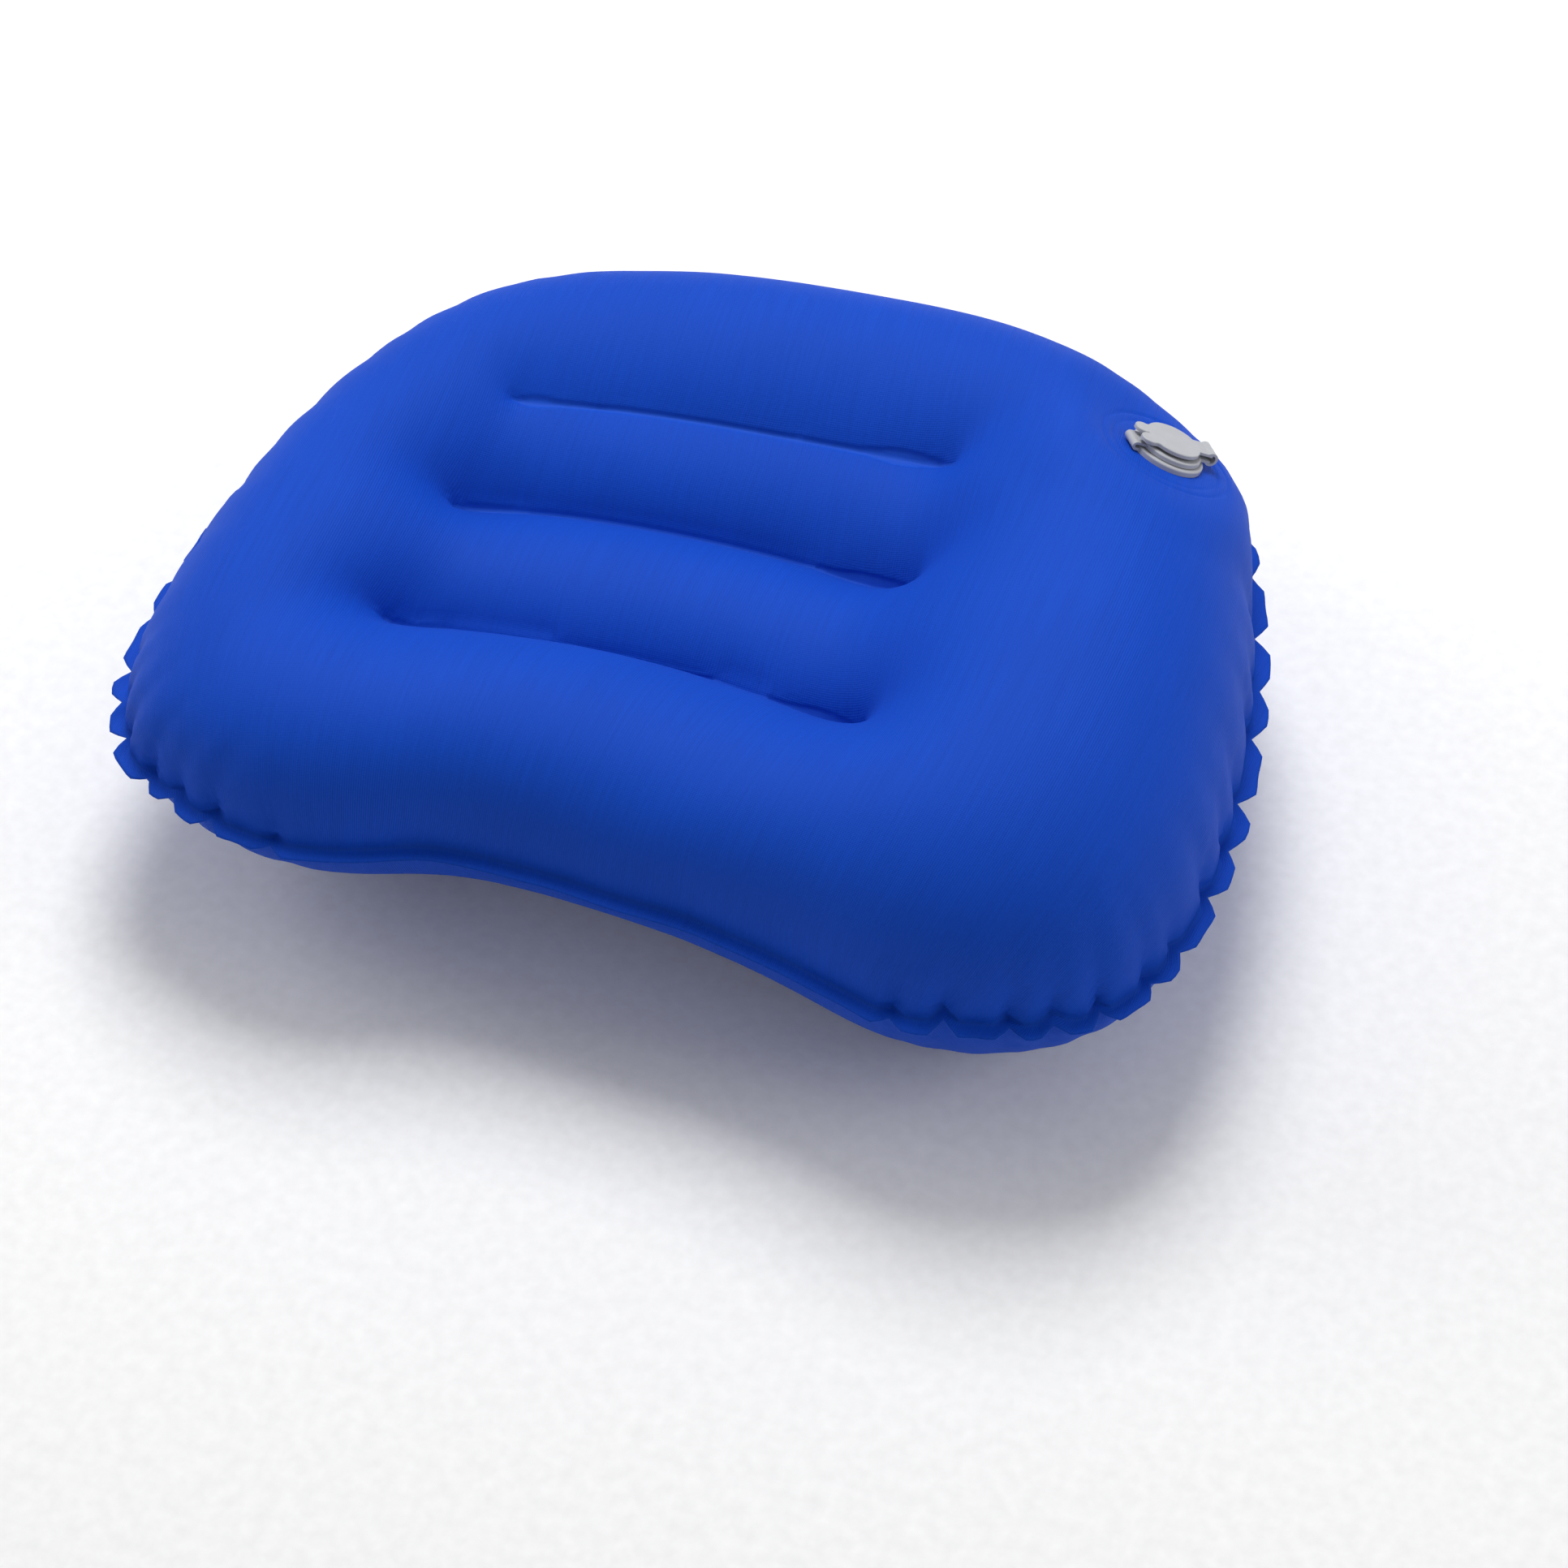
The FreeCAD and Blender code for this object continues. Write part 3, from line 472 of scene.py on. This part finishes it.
def make_skin(name, mesh, place, parts, with_valve):
    """One skin with its half of the flange, thickened inwards."""
    faces = np.vstack([mesh[p] for p in parts])
    used = np.unique(faces)
    renumber = np.full(len(place), -1)
    renumber[used] = np.arange(len(used))
    made = add_mesh(name, place[used], renumber[faces])
    work = bmesh.new()
    work.from_mesh(made.data)
    layer = work.verts.layers.float_vector.new("pattern")
    for vert, spot in zip(work.verts, mesh["flat"][used]):
        vert[layer] = (spot[0], spot[1], 0.0)
    work.verts.index_update()
    for margin in (0.011, 0.006):
        points, pattern = arrays(work, layer)
        wanted = np.zeros(len(points), bool)
        for weld in WELDS:
            wanted |= distance_to(weld_curve(weld), pattern) < margin
        if with_valve:
            reach, height = valve_reach(points)
            wanted |= (reach < 0.034) & (height > -0.03)
        finer(work, wanted)
    points, pattern = arrays(work, layer)
    if with_valve:
        points = seat_valve(points)
        for vert, point in zip(work.verts, points):
            vert.co = point
        reach, height = valve_reach(points)
        top_side = height > -0.03
        covered = [v for v in work.verts if reach[v.index] < HOLE - 0.0005 and top_side[v.index]]
        bmesh.ops.delete(work, geom=covered, context="VERTS")
        work.verts.index_update()
        for vert in work.verts:
            away = vert.co - VALVE
            away -= VALVE_OUT * away.dot(VALVE_OUT)
            near_valve = away.length < COLLAR + 0.001 and (vert.co - VALVE).length < 0.03
            if vert.is_boundary and near_valve:
                vert.co += away.normalized() * (HOLE - away.length)
        points, pattern = arrays(work, layer)
    rings = np.zeros(len(points))
    if with_valve:
        reach, height = valve_reach(points)
        for radius, strength in WELD_RINGS:
            rings += strength * np.exp(-((reach - radius) / RING_WIDTH) ** 2)
        rings *= height > -0.03
    pressed = weld_mark(pattern)
    work.normal_update()
    for vert, weld, ring in zip(work.verts, pressed, rings):
        vert.co -= vert.normal * (WELD_PRESS * weld + WELD_PRESS * ring)
    work.to_mesh(made.data)
    work.free()
    # this mask also paints a lighter sheen onto the weld marks in the knit colour
    mark = made.data.attributes.new("pressed", "FLOAT", "POINT")
    mark.data.foreach_set("value", np.clip(pressed, 0, 1).astype(np.float32))
    thick = made.modifiers.new("laminate", "SOLIDIFY")
    thick.thickness = LAMINATE
    thick.offset = -1
    evaluated = made.evaluated_get(bpy.context.evaluated_depsgraph_get())
    with_thickness = bpy.data.meshes.new_from_object(evaluated)
    made.modifiers.clear()
    made.data = with_thickness
    made.data.polygons.foreach_set("use_smooth", [True] * len(made.data.polygons))
    return made


def under_skin(skin, start, direction, depth):
    """The point below a skin where a ray from inside meets it."""
    hit = skin.ray_cast(Vector(start), Vector(direction))[0]
    return hit - Vector(direction) * depth if hit else Vector(start) + Vector(direction) * 0.004


def make_baffle(name, weld_points, upper, lower, seam):
    """A film web between the skins, with a tab along each."""
    across = np.linspace(-WEB_TAB, WEB_TAB, 5)
    top, bottom = [], []
    for x, y, _ in weld_points:
        top.append([under_skin(upper, (x, y + a, seam), (0, 0, 1), UNDER_TAB) for a in across])
        bottom.append([under_skin(lower, (x, y + a, seam), (0, 0, -1), UNDER_TAB) for a in across])
    count, wide = len(weld_points), len(across)
    points = [p for row in top + bottom for p in row]
    faces = []
    for k in range(count - 1):
        for j in range(wide - 1):
            for base in (0, count * wide):
                a = base + k * wide + j
                faces.append((a, a + 1, a + wide + 1, a + wide))
        a, b = k * wide + 2, (count + k) * wide + 2
        faces.append((a, a + wide, b + wide, b))
    made = add_mesh(name, points, faces)
    thick = made.modifiers.new("film", "SOLIDIFY")
    thick.thickness = WEB_FILM
    thick.offset = 0
    return made


def make_skirt(name, upper):
    """The valve's weld skirt, a ring against the inside of the top skin."""
    radii, turns = np.linspace(*SKIRT_RADII, 8), 72
    points, faces = [], []
    for radius in radii:
        for k in range(turns):
            angle = 2 * math.pi * k / turns
            spot = VALVE + VALVE_ALONG * radius * math.cos(angle) + VALVE_SIDE * radius * math.sin(angle)
            on_skin = radius > HOLE + 0.0004
            hit = upper.ray_cast(spot - VALVE_OUT * 0.02, VALVE_OUT)[0] if on_skin else None
            points.append((hit if hit else spot) - VALVE_OUT * 0.0009)
    for j in range(len(radii) - 1):
        for k in range(turns):
            a, b = j * turns + k, j * turns + (k + 1) % turns
            faces.append((a, b, b + turns, a + turns))
    made = add_mesh(name, points, faces)
    thick = made.modifiers.new("film", "SOLIDIFY")
    thick.thickness = SKIRT_FILM
    thick.offset = 0
    return made


# ---------------------------------------------------------------------------
# Materials
# ---------------------------------------------------------------------------
class Shader:
    """A Principled material and short ways to add nodes to it."""
    def __init__(self, name, color, roughness):
        self.material = bpy.data.materials.new(name)
        self.material.use_nodes = True
        self.tree = self.material.node_tree
        self.surface = self.tree.nodes["Principled BSDF"]
        self.surface.inputs["Base Color"].default_value = (*color, 1)
        self.surface.inputs["Roughness"].default_value = roughness

    def node(self, kind, settings=None, **inputs):
        made = self.tree.nodes.new("ShaderNode" + kind)
        for key, value in (settings or {}).items():
            setattr(made, key, value)
        for key, value in inputs.items():
            self.put(made.inputs[int(key[1:]) if key[1:].isdigit() else key.replace("_", " ")], value)
        return made

    def put(self, socket, value):
        if isinstance(value, bpy.types.NodeSocket):
            self.tree.links.new(value, socket)
        else:
            socket.default_value = value

    def math(self, operation, first, second=0.0):
        return self.node("Math", {"operation": operation}, i0=first, i1=second).outputs[0]

    def mix(self, amount, first, second):
        made = self.node("Mix", {"data_type": "RGBA"})
        for socket, value in (("Factor", amount), (6, first), (7, second)):
            self.put(made.inputs[socket], value)
        return made.outputs[2]

    def bump(self, height, distance, strength=1.0):
        made = self.node("Bump", Height=height, Distance=distance, Strength=strength)
        self.put(self.surface.inputs["Normal"], made.outputs[0])


def knit_laminate():
    """Fine rib knit, with wales that run from front to back."""
    look = Shader("knit_laminate", (0.001, 0.055, 0.46), 0.66)
    pattern = look.node("Attribute", {"attribute_name": "pattern"})
    place = look.node("SeparateXYZ", Vector=pattern.outputs["Vector"])
    wale = look.math("SINE", look.math("MULTIPLY", place.outputs[0], 2 * math.pi / WALE_PITCH))
    course = look.math("SINE", look.math("MULTIPLY", place.outputs[1], 2 * math.pi / COURSE_PITCH))
    fuzz = look.node("TexNoise", Vector=pattern.outputs["Vector"], Scale=900.0, Detail=3.0).outputs[0]
    drawn_out = look.node("Mapping", Vector=pattern.outputs["Vector"], Scale=(700.0, 25.0, 1.0))
    streak = look.node("TexNoise", Vector=drawn_out.outputs[0], Scale=1.0, Detail=2.0).outputs[0]
    cloud = look.node("TexNoise", Vector=pattern.outputs["Vector"], Scale=14.0, Detail=3.0).outputs[0]
    knit = look.math("ADD", look.math("MULTIPLY", wale, 0.5), look.math("MULTIPLY", course, 0.22))
    height = look.math("ADD", knit, look.math("ADD", look.math("MULTIPLY", fuzz, 1.2), streak))
    pressed = look.node("Attribute", {"attribute_name": "pressed"}).outputs["Fac"]
    flat = look.math("SUBTRACT", 1.0, look.math("MULTIPLY", pressed, 0.8))
    look.bump(look.math("MULTIPLY", height, flat), 0.00010, 0.8)
    tone = look.math("ADD", look.math("MULTIPLY", streak, 0.5), look.math("MULTIPLY", cloud, 0.5))
    # painted rib shade: the colour is lighter on the crests of the wales and darker in the grooves
    # between them, following the bump
    tone = look.math("ADD", tone, look.math("MULTIPLY", wale, 0.06))
    color = look.mix(tone, (0.0006, 0.042, 0.36, 1), (0.0014, 0.066, 0.54, 1))
    # painted sheen: the weld marks are painted lighter, as if their flat pressed faces caught the light;
    # the press itself is real geometry
    color = look.mix(look.math("MULTIPLY", pressed, 0.55), color, (0.012, 0.080, 0.52, 1))
    look.put(look.surface.inputs["Base Color"], color)
    look.surface.inputs["Sheen Weight"].default_value = 0.12
    look.surface.inputs["Sheen Roughness"].default_value = 0.45
    look.surface.inputs["Sheen Tint"].default_value = (0.12, 0.24, 1.0, 1)
    look.surface.inputs["Specular IOR Level"].default_value = 0.14
    return look.material


def moulded(name, color, roughness, scale, depth):
    """Moulded plastic with a fine spark-eroded grain and slight unevenness."""
    look = Shader(name, color, roughness)
    where = look.node("TexCoord").outputs["Object"]
    grain = look.node("TexNoise", Vector=where, Scale=scale, Detail=4.0).outputs[0]
    broad = look.node("TexNoise", Vector=where, Scale=160.0, Detail=2.0).outputs[0]
    look.bump(look.math("ADD", grain, broad), depth, 0.6)
    dark = tuple(0.86 * c for c in color)
    look.put(look.surface.inputs["Base Color"], look.mix(broad, (*dark, 1), (*color, 1)))
    rough = look.math("ADD", look.math("MULTIPLY", grain, 0.16), roughness - 0.08)
    look.put(look.surface.inputs["Roughness"], rough)
    return look


def film_look():
    """Milky film with a faint uneven grain."""
    look = moulded("film", (0.72, 0.75, 0.80), 0.35, 600.0, 0.00003)
    look.surface.inputs["Alpha"].default_value = 0.75
    return look.material


# ---------------------------------------------------------------------------
# Build
# ---------------------------------------------------------------------------
mesh, place = blown_up()
place[:, 2] += MIDDLE
gathered = gather_seam(mesh, place)
gathered[:, 2] = np.maximum(gathered[:, 2], 0.0)
weld_places = [gathered[line] for line in mesh["welds"]]

apart = np.array([0, 0, SKIN_GAP])
top_skin = make_skin("top_skin", mesh, gathered + apart, ("top", "flange"), True)
under = {**mesh, "flange": mesh["flange"][:, ::-1]}
bottom_skin = make_skin("bottom_skin", under, gathered - apart, ("bottom", "flange"), False)

upper = BVHTree.FromObject(top_skin, bpy.context.evaluated_depsgraph_get())
lower = BVHTree.FromObject(bottom_skin, bpy.context.evaluated_depsgraph_get())
films = []
for node, points in zip(("back_baffle", "middle_baffle", "front_baffle"), weld_places):
    films.append((make_baffle("film_" + node, points[3:-3], upper, lower, MIDDLE), node))
films.append((make_skirt("film_valve_skirt", upper), "valve_skirt"))

straps = []
for node, first, second, joint in (("lid_strap", "plug", "lid", "lid_hinge"),
                                   ("plug_strap", "pillow", "plug", "plug_hinge")):
    source = frame["nodes"][node]
    strap = bpy.data.objects.new("bent_" + node, source.data.copy())
    bpy.context.scene.collection.objects.link(strap)
    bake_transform(strap)
    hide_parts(node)
    straps.append(strap)

for skin, node in ((top_skin, "top_panel"), (bottom_skin, "bottom_panel")):
    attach(skin, "pillow")
    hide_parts(node)
for film, node in films:
    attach(film, "pillow")
    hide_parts(node)

knit = knit_laminate()
film_material = film_look()
grey = moulded("valve_plastic", (0.42, 0.43, 0.46), 0.42, 2600.0, 0.00002).material
silicone = moulded("silicone", (0.70, 0.71, 0.73), 0.5, 1500.0, 0.00002).material


def paint(thing, material):
    """Give a piece one material."""
    thing.data.materials.clear()
    thing.data.materials.append(material)


for skin in (top_skin, bottom_skin):
    paint(skin, knit)
for film, _ in films:
    paint(film, film_material)
for strap in straps:
    paint(strap, grey)
for node, thing in frame["nodes"].items():
    if node in ("valve_base", "deflation_plug", "membrane_pin", "lid"):
        paint(thing, grey)
    elif node == "check_membrane":
        paint(thing, silicone)

# ---------------------------------------------------------------------------
# Floor, light and camera
# ---------------------------------------------------------------------------
floor = add_mesh("floor", [(-4, -4, 0), (4, -4, 0), (4, 4, 0), (-4, 4, 0)], [(0, 1, 2, 3)])
floor.location.z = -0.0003
paint(floor, moulded("floor", (0.93, 0.93, 0.93), 0.8, 40.0, 0.0002).material)

world = bpy.data.worlds.new("studio")
world.use_nodes = True
world.node_tree.nodes["Background"].inputs["Color"].default_value = (1, 1, 1, 1)
world.node_tree.nodes["Background"].inputs["Strength"].default_value = 0.42
bpy.context.scene.world = world
LAMPS = (("key", (-0.3, 0.9, 1.8), 1.0, 31.0),
         ("left", (-1.5, 0.1, 0.9), 0.9, 6.0),
         ("right", (1.6, 0.2, 0.9), 0.9, 6.0))
for name, spot, size_m, power in LAMPS:
    lamp = bpy.data.lights.new(name, "AREA")
    lamp.shape = "DISK"
    lamp.size = size_m
    lamp.energy = power
    made = bpy.data.objects.new(name, lamp)
    made.location = spot
    made.rotation_euler = (Vector((0, 0, 0.07)) - Vector(spot)).to_track_quat("-Z", "Y").to_euler()
    bpy.context.scene.collection.objects.link(made)

AZIMUTH, ELEVATION = math.radians(18.5), math.radians(50.6)
DISTANCE = 1.539
lens = bpy.data.cameras.new("camera")
lens.sensor_width = 36.0
lens.lens = 86.9
lens.shift_x, lens.shift_y = 0.0324, -0.1108
lens.clip_start = 0.05
camera = bpy.data.objects.new("camera", lens)
back = Vector((math.sin(AZIMUTH) * math.cos(ELEVATION), -math.cos(AZIMUTH) * math.cos(ELEVATION),
               math.sin(ELEVATION)))
camera.location = Vector((0, 0, MIDDLE)) + back * DISTANCE
camera.rotation_euler = (-back).to_track_quat("-Z", "Y").to_euler()
bpy.context.scene.collection.objects.link(camera)
bpy.context.scene.camera = camera
bpy.context.scene.view_settings.view_transform = "Standard"
